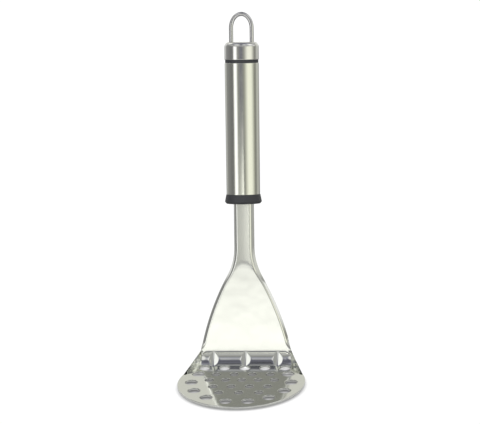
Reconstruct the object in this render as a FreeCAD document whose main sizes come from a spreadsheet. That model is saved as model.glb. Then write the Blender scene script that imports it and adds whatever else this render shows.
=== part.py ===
"""Hand potato masher: a stamped stainless blade on a round hollow handle with a hanging loop.

Frame: millimetres, +Z up.  The origin is the centre of the round mashing plate on its underside.
The plate lies in the XY plane, the blade turns up at its back edge (+Y) and the handle leans back.
The handle pieces are drawn on their own axis, with height counted from the crease of the blade.
"""
import FreeCAD, Part
import math
import os

import Sketcher
from FreeCAD import Placement, Rotation, Vector

X_AXIS = Vector(1, 0, 0)
Y_AXIS = Vector(0, 1, 0)
Z_AXIS = Vector(0, 0, 1)

# name, value, meaning; lengths in millimetres, angles in degrees
SIZES = [
    ("sheet_thickness", 1.5, "stainless sheet of the blade"),
    ("plate_radius", 46.3, "round mashing plate"),
    ("shoulder_angle", 19, "where the plate edge leaves the circle, behind the X axis"),
    ("bend_start", 29.6, "Y where the flat plate turns into the bend"),
    ("bend_radius", 10.4, "inside radius of the bend"),
    ("wedge_lean", 9.5, "lean of the wedge, back from upright"),
    ("neck_lean", 16, "lean of the neck and the handle, back from upright"),
    ("wedge_length", 65.7, "wedge from the top of the bend to the crease"),
    ("wedge_foot_width", 66.6, "wedge at the top of the bend"),
    ("wedge_side_radius", 193, "bulge of the wedge sides in front view"),
    ("neck_width", 15, "outside width of the neck channel"),
    ("neck_depth", 6.5, "depth of the neck channel, front to back"),
    ("neck_fillet", 42, "hollow curve from the wedge into the neck"),
    ("neck_fillet_top", 10.3, "height of the top of that curve above the crease"),
    ("neck_length", 43.1, "neck from the crease to the collar"),
    ("tang_length", 45, "length of the neck hidden in the handle"),
    ("rim_depth", 3.6, "depth of the turned rim along the wedge"),
    ("rim_fade_low", 4, "height where the rim starts above the bend"),
    ("rim_fade_high", 14, "height where the rim has its full depth"),
    ("rim_swell", 18, "length below the crease over which the rim deepens to the neck"),
    ("dart_pitch", 23.6, "spacing of the three stiffening darts across the bend"),
    ("dart_height", 2.0, "how far a dart stands proud of the inside of the bend"),
    ("dart_width", 6.4, "width of a dart across its foot"),
    ("ring_hole", 9, "diameter of the holes in the outer ring"),
    ("ring_radius", 36.3, "radius of the outer ring of holes"),
    ("ring_step", 25.714, "angle between two holes of the ring"),
    ("bend_hole", 8, "diameter of the holes along the bend"),
    ("bend_row", 27.1, "Y of the row along the bend"),
    ("bend_hole_pitch", 14.8, "spacing of the holes along the bend"),
    ("inner_hole", 6.5, "diameter of the inner holes"),
    ("inner_pitch", 13.2, "spacing of the inner holes along a row"),
    ("row_a", 15.2, "Y of the first inner row, four holes"),
    ("row_b", 4.4, "Y of the second inner row, five holes"),
    ("row_c", -7.9, "Y of the third inner row, four holes"),
    ("row_d", -19.3, "Y of the fourth inner row, three holes"),
    ("row_b_pitch", 11.85, "spacing in the second inner row"),
    ("row_d_pitch", 14.6, "spacing in the fourth inner row"),
    ("fit", 0.1, "clearance round everything that slides into its seat"),
    ("collar_height", 6.7, "visible height of the collar"),
    ("collar_foot_radius", 12.3, "underside of the collar"),
    ("collar_wide_radius", 13.5, "widest place of the collar"),
    ("collar_wide_height", 1.5, "height of the widest place"),
    ("collar_top_radius", 12.5, "top of the collar against the tube"),
    ("spigot_length", 14, "collar spigot inside the tube"),
    ("core_length", 30, "core that grips the tang"),
    ("pin_diameter", 3, "pins through core and tang"),
    ("pin_low", 8, "lower pin above the foot of the core"),
    ("pin_pitch", 12, "spacing of the two pins"),
    ("tube_length", 96.0, "handle tube"),
    ("tube_foot_radius", 12.25, "tube at the collar"),
    ("tube_top_radius", 12.5, "tube at the spacer ring"),
    ("tube_wall", 1, "wall of the tube at the collar"),
    ("ring_height", 2.3, "black spacer ring"),
    ("ring_outer_radius", 12.15, "outside of the spacer ring"),
    ("cap_height", 12.8, "end cap"),
    ("cap_radius", 12.6, "outside of the end cap"),
    ("cap_top_wall", 1.4, "top of the end cap"),
    ("cap_shoulder", 3.25, "rounded shoulder of the end cap"),
    ("cap_inner_bevel", 1.6, "bevel inside the end cap"),
    ("plug_depth", 12, "end plug below the top of the tube"),
    ("anchor_thickness", 1.5, "plate that holds the ends of the loop"),
    ("anchor_gap", 0.85, "gap between that plate and the bore of the tube"),
    ("wire_diameter", 3.1, "wire of the hanging loop"),
    ("loop_width", 15.1, "distance between the legs of the loop, centre to centre"),
    ("loop_height", 22, "top of the loop above the cap"),
    ("loop_arch", 10.05, "height of the arch of the loop, on the middle of the wire"),
    ("loop_stub", 0.8, "ends of the loop below the anchor plate"),
]

doc = FreeCAD.newDocument("potato_masher")
sheet = doc.addObject("Spreadsheet::Sheet", "sizes")
for row, (name, value, meaning) in enumerate(SIZES, start=1):
    sheet.set(f"A{row}", name)
    sheet.set(f"B{row}", str(value))
    sheet.set(f"C{row}", meaning)
    sheet.setAlias(f"B{row}", name)
doc.recompute()


def size(name):
    """Value of one named cell."""
    return float(getattr(sheet, name))


# Heights on the handle axis, as expressions of the cells.
COLLAR_FOOT = "sizes.neck_length"
COLLAR_TOP = f"{COLLAR_FOOT} + sizes.collar_height"
SPIGOT_TOP = f"{COLLAR_TOP} + sizes.spigot_length"
CORE_TOP = f"{SPIGOT_TOP} + sizes.core_length"
TUBE_TOP = f"{COLLAR_TOP} + sizes.tube_length"
CAP_FOOT = f"{TUBE_TOP} + sizes.ring_height"
CAP_TOP = f"{CAP_FOOT} + sizes.cap_height"
PLUG_FOOT = f"{TUBE_TOP} - sizes.plug_depth"
PLUG_TOP = f"{CAP_TOP} - sizes.cap_top_wall"
ANCHOR_FOOT = f"{PLUG_FOOT} - sizes.anchor_thickness"
TANG_TOP = "sizes.neck_length + sizes.tang_length"
BORE = "sizes.tube_foot_radius - sizes.tube_wall"
INSERT = f"{BORE} - sizes.fit"
WIRE_HOLE = "sizes.wire_diameter / 2 + sizes.fit"

# The crease of the blade, on its front face, in the frame of the masher.
FOOT_Y = "sizes.bend_start + sizes.bend_radius * cos(sizes.wedge_lean * 1 deg)"
FOOT_Z = "sizes.sheet_thickness + sizes.bend_radius * (1 - sin(sizes.wedge_lean * 1 deg))"
CREASE_Y = f"{FOOT_Y} + sizes.wedge_length * sin(sizes.wedge_lean * 1 deg)"
CREASE_Z = f"{FOOT_Z} + sizes.wedge_length * cos(sizes.wedge_lean * 1 deg)"


def set_on_handle(part, label):
    """Place a finished piece on the handle axis, which runs through the middle of the neck."""
    part.Label = label
    part.Placement = Placement(Vector(0, 0, 0), Rotation(X_AXIS, -size("neck_lean")))
    half_depth = "sizes.neck_depth / 2"
    part.setExpression(".Placement.Base.y", f"{CREASE_Y} + {half_depth} * cos(sizes.neck_lean * 1 deg)")
    part.setExpression(".Placement.Base.z", f"{CREASE_Z} - {half_depth} * sin(sizes.neck_lean * 1 deg)")
    part.setExpression(".Placement.Rotation.Angle", "-sizes.neck_lean * 1 deg")


def origin_plane(body, role):
    """The body's own origin plane with this role."""
    return next(item for item in body.Origin.OriginFeatures if item.Role == role)


def new_sketch(body, name, role):
    """Empty sketch on one of the body's origin planes."""
    sketch = body.newObject("Sketcher::SketchObject", name)
    sketch.AttachmentSupport = (origin_plane(body, role), [""])
    sketch.MapMode = "FlatFace"
    return sketch


def bind(sketch, kind, geometry, point, expression):
    """Hold one coordinate of a sketch point at an expression of the cells."""
    index = sketch.addConstraint(Sketcher.Constraint(kind, -1, 1, geometry, point, 1.0))
    sketch.setExpression(f"Constraints[{index}]", expression)


def turned_body(name, outline):
    """Body turned about its Z axis from an outline of (radius, height) expressions."""
    body = doc.addObject("PartDesign::Body", name)
    sketch = new_sketch(body, f"{name}_outline", "XZ_Plane")
    start = [evaluated(sketch, corner) for corner in outline]
    for index, point in enumerate(start):
        after = start[(index + 1) % len(start)]
        sketch.addGeometry(Part.LineSegment(point, after), False)
    for index, (radius, height) in enumerate(outline):
        before = (index - 1) % len(outline)
        sketch.addConstraint(Sketcher.Constraint("Coincident", before, 2, index, 1))
        if radius == "0":
            sketch.addConstraint(Sketcher.Constraint("PointOnObject", index, 1, -2))
        else:
            bind(sketch, "DistanceX", index, 1, radius)
        bind(sketch, "DistanceY", index, 1, height)
    turned = body.newObject("PartDesign::Revolution", f"{name}_turned")
    turned.Profile = sketch
    turned.ReferenceAxis = (sketch, ["V_Axis"])
    turned.Angle = 360
    doc.recompute()
    return body


def evaluated(owner, corner):
    """Sketch point for a (radius, height) pair of expressions."""
    radius, height = (float(owner.evalExpression(text)) for text in corner)
    return Vector(radius, height, 0)


def round_holes(body, name, role, places, radius, span):
    """Cut round holes, given by (x, y) expressions, from one origin plane through the body."""
    sketch = new_sketch(body, f"{name}_sketch", role)
    for index, place in enumerate(places):
        centre = evaluated(sketch, place)
        sketch.addGeometry(Part.Circle(centre, Z_AXIS, 1.0), False)
        for kind, axis, text in zip(("DistanceX", "DistanceY"), (-2, -1), place):
            if text == "0":
                sketch.addConstraint(Sketcher.Constraint("PointOnObject", index, 3, axis))
            else:
                bind(sketch, kind, index, 3, text)
        bound = sketch.addConstraint(Sketcher.Constraint("Radius", index, 1.0))
        sketch.setExpression(f"Constraints[{bound}]", radius)
    return cut_through(body, name, sketch, span)


def cut_through(body, name, sketch, span):
    """Pocket to both sides of a sketch, checked to have removed something."""
    before = body.Shape.Volume
    pocket = body.newObject("PartDesign::Pocket", name)
    pocket.Profile = sketch
    pocket.Midplane = True
    pocket.setExpression("Length", span)
    doc.recompute()
    if body.Shape.Volume >= before:
        raise RuntimeError(f"{name} removed nothing")
    return pocket


def tang_slot(body, name, top):
    """Slot for the neck channel, from the foot of the piece up to an expression of the cells."""
    sketch = new_sketch(body, f"{name}_sketch", "XZ_Plane")
    half = "sizes.neck_width / 2 + sizes.fit"
    foot = f"{COLLAR_FOOT} - 1"
    corners = [(f"-({half})", foot), (half, foot), (half, top), (f"-({half})", top)]
    start = [evaluated(sketch, corner) for corner in corners]
    for index, point in enumerate(start):
        sketch.addGeometry(Part.LineSegment(point, start[(index + 1) % 4]), False)
    for index, (across, height) in enumerate(corners):
        sketch.addConstraint(Sketcher.Constraint("Coincident", (index - 1) % 4, 2, index, 1))
        bind(sketch, "DistanceX", index, 1, across)
        bind(sketch, "DistanceY", index, 1, height)
    return cut_through(body, name, sketch, "sizes.neck_depth + 2 * sizes.fit")


# ---------------------------------------------------------------- blade

def foot_point():
    """Front face of the wedge where it meets the bend, as (y, z)."""
    lean = math.radians(size("wedge_lean"))
    y = size("bend_start") + size("bend_radius") * math.cos(lean)
    z = size("sheet_thickness") + size("bend_radius") * (1 - math.sin(lean))
    return y, z


def upright_point(along, depth):
    """Point of the upright part: along from the foot of the wedge, depth behind its front face."""
    wedge = math.radians(size("wedge_lean"))
    neck = math.radians(size("neck_lean"))
    low = min(along, size("wedge_length"))
    high = along - low
    y, z = foot_point()
    y += low * math.sin(wedge) + high * math.sin(neck)
    z += low * math.cos(wedge) + high * math.cos(neck)
    lean = wedge if high == 0 else neck
    if along == size("wedge_length"):
        lean = (wedge + neck) / 2
        depth = depth / math.cos((neck - wedge) / 2)
    return Vector(0, y + depth * math.cos(lean), z - depth * math.sin(lean))


def slab(points, half_width):
    """Solid of a closed side outline, as wide as twice half_width."""
    face = Part.Face(Part.makePolygon(points + points[:1]))
    face.translate(Vector(-half_width, 0, 0))
    return face.extrude(Vector(2 * half_width, 0, 0))


def wedge_side(inset):
    """Centres, radii and touching point of the two arcs of the wedge outline, in wedge axes."""
    side = size("wedge_side_radius") - inset
    fillet = size("neck_fillet") + inset
    foot = Vector(size("wedge_foot_width") / 2, 0, 0)
    hollow_x = size("neck_width") / 2 + size("neck_fillet")
    hollow = Vector(hollow_x, size("wedge_length") + size("neck_fillet_top"), 0)
    apart = hollow - foot
    full_side = size("wedge_side_radius")
    full_fillet = size("neck_fillet")
    reach = full_side + full_fillet
    along = (full_side ** 2 - reach ** 2 + apart.Length ** 2) / (2 * apart.Length)
    across = math.sqrt(full_side ** 2 - along ** 2)
    unit = apart.normalize()
    bulge = foot + unit * along + Vector(-unit.y, unit.x, 0) * across
    touch = bulge + (hollow - bulge) * (full_side / reach)
    return bulge, side, hollow, fillet, touch


def wedge_side_slope():
    """Change of half width per millimetre of height at the foot of the wedge."""
    bulge, side, hollow, fillet, touch = wedge_side(0)
    return -(0 - bulge.y) / (size("wedge_foot_width") / 2 - bulge.x)


def wedge_prism(inset, below, front, back):
    """Prism of the front outline of wedge, neck and tang, drawn in by inset all round the sides."""
    bulge, side, hollow, fillet, touch = wedge_side(inset)
    unit = (hollow - bulge).normalize()
    meet = bulge + unit * side
    top = size("wedge_length") + size("neck_length") + size("tang_length") + 5
    neck = size("neck_width") / 2 - inset
    start = Vector(bulge.x + math.sqrt(side ** 2 - (below - bulge.y) ** 2), below, 0)
    middle = point_between(bulge, side, start, meet)
    fillet_end = Vector(neck, hollow.y, 0)
    fillet_middle = point_between(hollow, fillet, meet, fillet_end)
    right = [
        Part.Arc(start, middle, meet).toShape(),
        Part.Arc(meet, fillet_middle, fillet_end).toShape(),
        Part.makeLine(fillet_end, Vector(neck, top, 0)),
    ]
    left = [edge.mirror(Vector(0, 0, 0), X_AXIS) for edge in right]
    ends = [
        Part.makeLine(Vector(-neck, top, 0), Vector(neck, top, 0)),
        Part.makeLine(Vector(-start.x, below, 0), Vector(start.x, below, 0)),
    ]
    outline = Part.Wire(Part.__sortEdges__(right + left + ends))
    face = Part.Face(outline)
    face.translate(Vector(0, 0, front))
    prism = face.extrude(Vector(0, 0, -(front + back)))
    y, z = foot_point()
    prism.Placement = Placement(Vector(0, y, z), Rotation(X_AXIS, 90 - size("wedge_lean")))
    return prism


def point_between(centre, radius, start, end):
    """Middle of the short arc from start to end."""
    middle = (start + end) * 0.5 - centre
    return centre + middle.normalize() * radius


def upright_shape():
    """Wedge, neck and tang: a sheet with its rims turned to the back."""
    thick = size("sheet_thickness")
    crease = size("wedge_length")
    top = crease + size("neck_length") + size("tang_length")
    half = size("plate_radius")
    depths = [
        (top, size("neck_depth")),
        (crease, size("neck_depth")),
        (crease - size("rim_swell"), size("rim_depth")),
        (size("rim_fade_high"), size("rim_depth")),
        (size("rim_fade_low"), thick),
        (0, thick),
    ]
    front = [upright_point(along, 0) for along in (0, crease, top)]
    back = [upright_point(along, depth) for along, depth in depths]
    deep = slab(front + back, half)
    outer = deep.common(wedge_prism(0, -5, 30, 60))
    behind = 3 * size("neck_depth")
    inside = [upright_point(along, thick) for along in (-5, crease, top + 5)]
    outside = [upright_point(along, behind) for along in (top + 5, crease, -5)]
    hollow = slab(inside + outside, half).common(wedge_prism(thick, -5, 30, 60))
    return outer.cut(hollow)


def plate_half_width(y):
    """Half width of the plate behind its shoulders, where the edge is straight."""
    shoulder = math.radians(size("shoulder_angle"))
    radius = size("plate_radius")
    return radius * math.cos(shoulder) - (y - radius * math.sin(shoulder)) * math.tan(shoulder)


def plate_shape():
    """Flat plate: a disc with straight edges running to the bend."""
    shoulder = math.radians(size("shoulder_angle"))
    radius = size("plate_radius")
    end = size("bend_start")
    right = Vector(radius * math.cos(shoulder), radius * math.sin(shoulder), 0)
    corner = Vector(plate_half_width(end), end, 0)
    left = Vector(-right.x, right.y, 0)
    corner_left = Vector(-corner.x, end, 0)
    edges = [
        Part.Arc(left, Vector(0, -radius, 0), right).toShape(),
        Part.makeLine(right, corner),
        Part.makeLine(corner, corner_left),
        Part.makeLine(corner_left, left),
    ]
    return Part.Face(Part.Wire(edges)).extrude(Vector(0, 0, size("sheet_thickness")))


def bend_half_width(turn):
    """Half width of the bend after a share of its turn, flowing from the plate into the wedge."""
    sweep = math.radians(90 - size("wedge_lean"))
    length = (size("bend_radius") + size("sheet_thickness") / 2) * sweep
    low = plate_half_width(size("bend_start"))
    high = size("wedge_foot_width") / 2
    low_slope = -math.tan(math.radians(size("shoulder_angle"))) * length
    high_slope = wedge_side_slope() * length
    return (
        (2 * turn ** 3 - 3 * turn ** 2 + 1) * low
        + (turn ** 3 - 2 * turn ** 2 + turn) * low_slope
        + (3 * turn ** 2 - 2 * turn ** 3) * high
        + (turn ** 3 - turn ** 2) * high_slope
    )


def bend_axis():
    """Point of the axis that the bend turns about."""
    return Vector(0, size("bend_start"), size("sheet_thickness") + size("bend_radius"))


def bend_point(x, radius, angle):
    """Point on the bend at a radius and an angle from straight down."""
    axis = bend_axis()
    return Vector(x, axis.y + radius * math.sin(angle), axis.z - radius * math.cos(angle))


def bend_shape():
    """Quarter turn of the sheet with its side edges trimmed to the outline."""
    thick = size("sheet_thickness")
    inner = size("bend_radius")
    sweep = 90 - size("wedge_lean")
    wide = size("plate_radius") + 10
    axis = bend_axis()
    corners = [bend_point(-wide, inner, 0), bend_point(wide, inner, 0)]
    corners += [bend_point(wide, inner + thick, 0), bend_point(-wide, inner + thick, 0)]
    section = Part.Face(Part.makePolygon(corners + corners[:1]))
    bend = section.revolve(axis, X_AXIS, sweep)
    steps = [index / 8 for index in range(9)]
    for side in (-1, 1):
        sections = []
        for turn in steps:
            angle = math.radians(sweep * turn)
            edge = side * bend_half_width(turn)
            far = side * (wide + 5)
            ring = [bend_point(edge, inner - 1, angle), bend_point(far, inner - 1, angle)]
            ring += [bend_point(far, inner + thick + 1, angle), bend_point(edge, inner + thick + 1, angle)]
            sections.append(Part.makePolygon(ring + ring[:1]))
        bend = bend.cut(Part.makeLoft(sections, True, False))
    return bend


def dart_prism(x, apex, base):
    """Three-sided prism across the bend, its ridge at radius apex and its foot at radius base."""
    middle = math.radians(90 - size("wedge_lean")) / 2
    reach = size("bend_radius") + 3 * size("sheet_thickness")
    spread = size("dart_width") / 2 * (base - apex) / size("dart_height")
    along = Vector(0, math.cos(middle), math.sin(middle))
    ridge = bend_point(x, apex, middle)
    foot = bend_point(x, base, middle)
    corners = [ridge, foot + X_AXIS * spread, foot - X_AXIS * spread]
    corners = [corner - along * reach for corner in corners]
    return Part.Face(Part.makePolygon(corners + corners[:1])).extrude(along * (2 * reach))


def hole_places():
    """Centres and radii of all holes in the plate."""
    ring = size("ring_radius")
    places = []
    for count in range(5):
        angle = math.radians(size("ring_step") * (count + 0.5) - 90)
        for side in (-1, 1):
            places.append((side * ring * math.cos(angle), ring * math.sin(angle), size("ring_hole") / 2))
    for count in (-2, -1, 0, 1, 2):
        places.append((count * size("bend_hole_pitch"), size("bend_row"), size("bend_hole") / 2))
        places.append((count * size("row_b_pitch"), size("row_b"), size("inner_hole") / 2))
    for count in (-1.5, -0.5, 0.5, 1.5):
        places.append((count * size("inner_pitch"), size("row_a"), size("inner_hole") / 2))
        places.append((count * size("inner_pitch"), size("row_c"), size("inner_hole") / 2))
    for count in (-1, 0, 1):
        places.append((count * size("row_d_pitch"), size("row_d"), size("inner_hole") / 2))
    return places


def pin_heights():
    """Heights of the two pins on the handle axis."""
    low = size("neck_length") + size("collar_height") + size("spigot_length") + size("pin_low")
    return low, low + size("pin_pitch")


def blade_shape():
    """The whole blade as one sheet."""
    thick = size("sheet_thickness")
    inner = size("bend_radius")
    blade = plate_shape().fuse([bend_shape(), upright_shape()])
    axis = bend_axis()
    half = size("plate_radius")
    inside = Part.makeCylinder(inner + thick / 2, 2 * half, Vector(-half, axis.y, axis.z), X_AXIS)
    for count in (-1, 0, 1):
        x = count * size("dart_pitch")
        apex = inner - size("dart_height")
        blade = blade.fuse(dart_prism(x, apex, inner + thick).common(inside))
        blade = blade.cut(dart_prism(x, apex + thick, inner + 3 * thick))
    for x, y, radius in hole_places():
        blade = blade.cut(Part.makeCylinder(radius, 3 * thick, Vector(x, y, -thick), Z_AXIS))
    for height in pin_heights():
        centre = upright_point(size("wedge_length") + height, 0)
        lean = math.radians(size("neck_lean"))
        through = Vector(0, math.cos(lean), -math.sin(lean))
        radius = size("pin_diameter") / 2 + size("fit")
        blade = blade.cut(Part.makeCylinder(radius, 4 * thick, centre - through * thick, through))
    return blade.removeSplitter()


blade = doc.addObject("Part::Feature", "masher_blade")
blade.Label = "masher_blade"
blade.Shape = blade_shape()
blade.Placement = Placement()

# ---------------------------------------------------------------- handle

collar = turned_body("lower_collar", [
    ("0", COLLAR_FOOT),
    ("sizes.collar_foot_radius", COLLAR_FOOT),
    ("sizes.collar_wide_radius", f"{COLLAR_FOOT} + sizes.collar_wide_height"),
    ("sizes.collar_top_radius", COLLAR_TOP),
    (INSERT, COLLAR_TOP),
    (INSERT, SPIGOT_TOP),
    ("0", SPIGOT_TOP),
])
tang_slot(collar, "collar_slot", f"{SPIGOT_TOP} + 1")
set_on_handle(collar, "lower_collar")

core = turned_body("tang_core", [
    ("0", SPIGOT_TOP),
    (INSERT, SPIGOT_TOP),
    (INSERT, CORE_TOP),
    ("0", CORE_TOP),
])
tang_slot(core, "core_slot", f"{TANG_TOP} + 2 * sizes.fit")
PIN_LOW = f"{SPIGOT_TOP} + sizes.pin_low"
PIN_HIGH = f"{PIN_LOW} + sizes.pin_pitch"
PIN_HOLE = "sizes.pin_diameter / 2 + sizes.fit"
PINS = [("0", PIN_LOW), ("0", PIN_HIGH)]
round_holes(core, "core_pin_holes", "XZ_Plane", PINS, PIN_HOLE, f"2 * ({BORE}) + 2")
set_on_handle(core, "tang_core")

tube = turned_body("handle_tube", [
    (BORE, COLLAR_TOP),
    ("sizes.tube_foot_radius", COLLAR_TOP),
    ("sizes.tube_top_radius", TUBE_TOP),
    (BORE, TUBE_TOP),
])
set_on_handle(tube, "handle_tube")

ring = turned_body("spacer_ring", [
    (BORE, TUBE_TOP),
    ("sizes.ring_outer_radius", TUBE_TOP),
    ("sizes.ring_outer_radius", CAP_FOOT),
    (BORE, CAP_FOOT),
])
set_on_handle(ring, "spacer_ring")

LEGS = [("-sizes.loop_width / 2", "0"), ("sizes.loop_width / 2", "0")]


def leg_holes(body, name):
    """Holes for the two legs of the loop, along the handle axis."""
    return round_holes(body, name, "XY_Plane", LEGS, WIRE_HOLE, f"2 * ({CAP_TOP}) + 10")


cap = turned_body("end_cap", [
    (BORE, CAP_FOOT),
    ("sizes.cap_radius", CAP_FOOT),
    ("sizes.cap_radius", CAP_TOP),
    ("0", CAP_TOP),
    ("0", PLUG_TOP),
    (f"{BORE} - sizes.cap_inner_bevel", PLUG_TOP),
    (BORE, f"{PLUG_TOP} - sizes.cap_inner_bevel"),
])
top_height = float(cap.evalExpression(CAP_TOP))
rims = [
    f"Edge{index}"
    for index, edge in enumerate(cap.Shape.Edges, start=1)
    if abs(edge.BoundBox.ZMin - top_height) < 1e-6 and edge.BoundBox.XLength > 1
]
cap_turned = cap.Tip
shoulder = cap.newObject("PartDesign::Fillet", "cap_shoulder_round")
shoulder.Base = (cap_turned, rims)
shoulder.setExpression("Radius", "sizes.cap_shoulder")
doc.recompute()
leg_holes(cap, "cap_leg_holes")
set_on_handle(cap, "end_cap")

PLUG_BEVEL = "sizes.cap_inner_bevel + sizes.fit"
plug = turned_body("end_plug", [
    ("0", PLUG_FOOT),
    (INSERT, PLUG_FOOT),
    (INSERT, f"{PLUG_TOP} - ({PLUG_BEVEL})"),
    (f"{INSERT} - ({PLUG_BEVEL})", PLUG_TOP),
    ("0", PLUG_TOP),
])
leg_holes(plug, "plug_leg_holes")
set_on_handle(plug, "end_plug")

anchor = turned_body("loop_anchor_plate", [
    ("0", ANCHOR_FOOT),
    (f"{BORE} - sizes.anchor_gap", ANCHOR_FOOT),
    (f"{BORE} - sizes.anchor_gap", PLUG_FOOT),
    ("0", PLUG_FOOT),
])
leg_holes(anchor, "anchor_leg_holes")
set_on_handle(anchor, "loop_anchor_plate")

# The hanging loop: two straight legs under an arch that is half an ellipse.
ARCH_FOOT = f"{CAP_TOP} + sizes.loop_height - sizes.wire_diameter / 2 - sizes.loop_arch"
LEG_FOOT = f"{ANCHOR_FOOT} - sizes.loop_stub"

legs = []
for side, sign in (("left", "-"), ("right", "")):
    leg = doc.addObject("Part::Cylinder", f"loop_leg_{side}")
    leg.setExpression("Radius", "sizes.wire_diameter / 2")
    leg.setExpression("Height", f"{ARCH_FOOT} - ({LEG_FOOT})")
    leg.setExpression(".Placement.Base.x", f"{sign}sizes.loop_width / 2")
    leg.setExpression(".Placement.Base.z", LEG_FOOT)
    legs.append(leg)

arch_line = doc.addObject("Part::Ellipse", "loop_arch_line")
arch_line.setExpression("MajorRadius", "sizes.loop_arch")
arch_line.setExpression("MinorRadius", "sizes.loop_width / 2")
arch_line.Angle1 = 270
arch_line.Angle2 = 90
arch_line.Placement = Placement(Vector(0, 0, 0), Rotation(Z_AXIS, X_AXIS, Y_AXIS, "XYZ"))
arch_line.setExpression(".Placement.Base.z", ARCH_FOOT)

arch_section = doc.addObject("Part::Circle", "loop_arch_section")
arch_section.setExpression("Radius", "sizes.wire_diameter / 2")
arch_section.setExpression(".Placement.Base.x", "-sizes.loop_width / 2")
arch_section.setExpression(".Placement.Base.z", ARCH_FOOT)
doc.recompute()

arch = doc.addObject("Part::Sweep", "loop_arch")
arch.Sections = [arch_section]
arch.Spine = (arch_line, ["Edge1"])
arch.Solid = True
arch.Frenet = True

loop = doc.addObject("Part::MultiFuse", "hanging_loop")
loop.Shapes = legs + [arch]
loop.Refine = True
set_on_handle(loop, "hanging_loop")

# Two pins through core and tang, a little shorter than the core is wide.
pins = []
for name, height in (("pin_low_solid", PIN_LOW), ("pin_high_solid", PIN_HIGH)):
    pin = doc.addObject("Part::Cylinder", name)
    pin.Placement = Placement(Vector(0, 0, 0), Rotation(X_AXIS, -90))
    pin.setExpression("Radius", "sizes.pin_diameter / 2")
    pin.setExpression("Height", f"2 * ({INSERT}) - 1")
    pin.setExpression(".Placement.Base.y", f"-({INSERT}) + 0.5")
    pin.setExpression(".Placement.Base.z", height)
    pins.append(pin)
pin_group = doc.addObject("Part::Compound", "tang_pins")
pin_group.Links = pins
set_on_handle(pin_group, "tang_pins")

doc.recompute()

PARTS = [blade, collar, core, pin_group, tube, ring, cap, plug, anchor, loop]

for item in doc.Objects:
    faults = [state for state in item.State if state in ("Invalid", "Error")]
    if faults:
        raise RuntimeError(f"{item.Name} is {faults}")
for part in PARTS:
    if part.Shape.isNull() or not part.Shape.isValid():
        raise RuntimeError(f"{part.Label} has no valid shape")

os.makedirs("parts", exist_ok=True)
for part in PARTS:
    part.Shape.exportStep(f"parts/{part.Label}.step")
    print(part.Label, len(part.Shape.Solids), round(part.Shape.Volume, 1))
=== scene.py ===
"""Looks of the hand potato masher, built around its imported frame.

The blade is one pressed sheet: a perforated plate, a bend with three darts, a wedge with turned rims and a
channel neck.  The handle is a satin tube between a dark collar and a bright cap that carries a wire loop.
Sizes in the classes are millimetres; meshes are written in metres, in the frame's own axes.
"""

import logging
import math
from dataclasses import dataclass, field
from enum import Enum
from typing import Callable, Iterable, Sequence

import bmesh
import bpy
from mathutils import Matrix, Vector
from mathutils.geometry import delaunay_2d_cdt

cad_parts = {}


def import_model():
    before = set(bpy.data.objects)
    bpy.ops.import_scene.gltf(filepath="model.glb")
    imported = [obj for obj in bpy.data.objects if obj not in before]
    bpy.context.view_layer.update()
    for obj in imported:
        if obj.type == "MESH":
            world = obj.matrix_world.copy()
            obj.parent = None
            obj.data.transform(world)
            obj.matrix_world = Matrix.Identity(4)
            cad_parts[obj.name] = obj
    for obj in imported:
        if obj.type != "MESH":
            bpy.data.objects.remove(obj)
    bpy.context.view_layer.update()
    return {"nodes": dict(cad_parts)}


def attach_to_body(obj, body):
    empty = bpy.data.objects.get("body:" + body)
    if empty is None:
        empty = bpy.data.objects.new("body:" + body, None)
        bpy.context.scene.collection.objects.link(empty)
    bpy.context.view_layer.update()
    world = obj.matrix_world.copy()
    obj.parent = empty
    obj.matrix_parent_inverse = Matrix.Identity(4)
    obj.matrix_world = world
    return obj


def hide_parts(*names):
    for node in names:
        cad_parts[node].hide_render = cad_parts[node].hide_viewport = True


MM = 0.001
log = logging.getLogger("potato_masher")

Outline = list[tuple[float, float]]
Rgb = tuple[float, float, float]


class Side(Enum):
    """The two faces of the sheet."""

    FRONT = 1
    BACK = -1


def smooth_step(low: float, high: float, value: float) -> float:
    """Rise from 0 to 1 without a corner.

    Args:
        low: Value where the rise starts.
        high: Value where it ends.
        value: The value asked about.

    Returns:
        A number from 0 to 1.
    """
    share = min(max((value - low) / (high - low), 0.0), 1.0)
    return share * share * (3.0 - 2.0 * share)


def soft_max(first: float, second: float, blend: float) -> float:
    """Larger of two numbers, with the corner between them rounded.

    Args:
        first: One number.
        second: The other.
        blend: Width of the rounded part.

    Returns:
        The rounded maximum.
    """
    reach = max(blend - abs(first - second), 0.0) / blend
    return max(first, second) + reach * reach * blend * 0.25


# ---------------------------------------------------------------------------- node tools


def add_node(tree: bpy.types.NodeTree, kind: str, **values: object) -> bpy.types.Node:
    """Put a node in a tree and set its properties.

    Args:
        tree: Tree that gets the node.
        kind: Blender's name of the node type.
        **values: Properties of the node.

    Returns:
        The new node.
    """
    node = tree.nodes.new(kind)
    for name, value in values.items():
        setattr(node, name, value)
    return node


def math_node(tree: bpy.types.NodeTree, operation: str, first: object, second: object = None) -> bpy.types.NodeSocket:
    """Add a Math node whose inputs are sockets or plain numbers.

    Args:
        tree: Tree that gets the node.
        operation: Blender's name of the operation.
        first: First input.
        second: Second input, when the operation has one.

    Returns:
        The node's output.
    """
    node = add_node(tree, "ShaderNodeMath", operation=operation)
    for socket, value in zip(node.inputs, (first, second)):
        if isinstance(value, bpy.types.NodeSocket):
            tree.links.new(value, socket)
        elif value is not None:
            socket.default_value = value
    return node.outputs[0]


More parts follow.
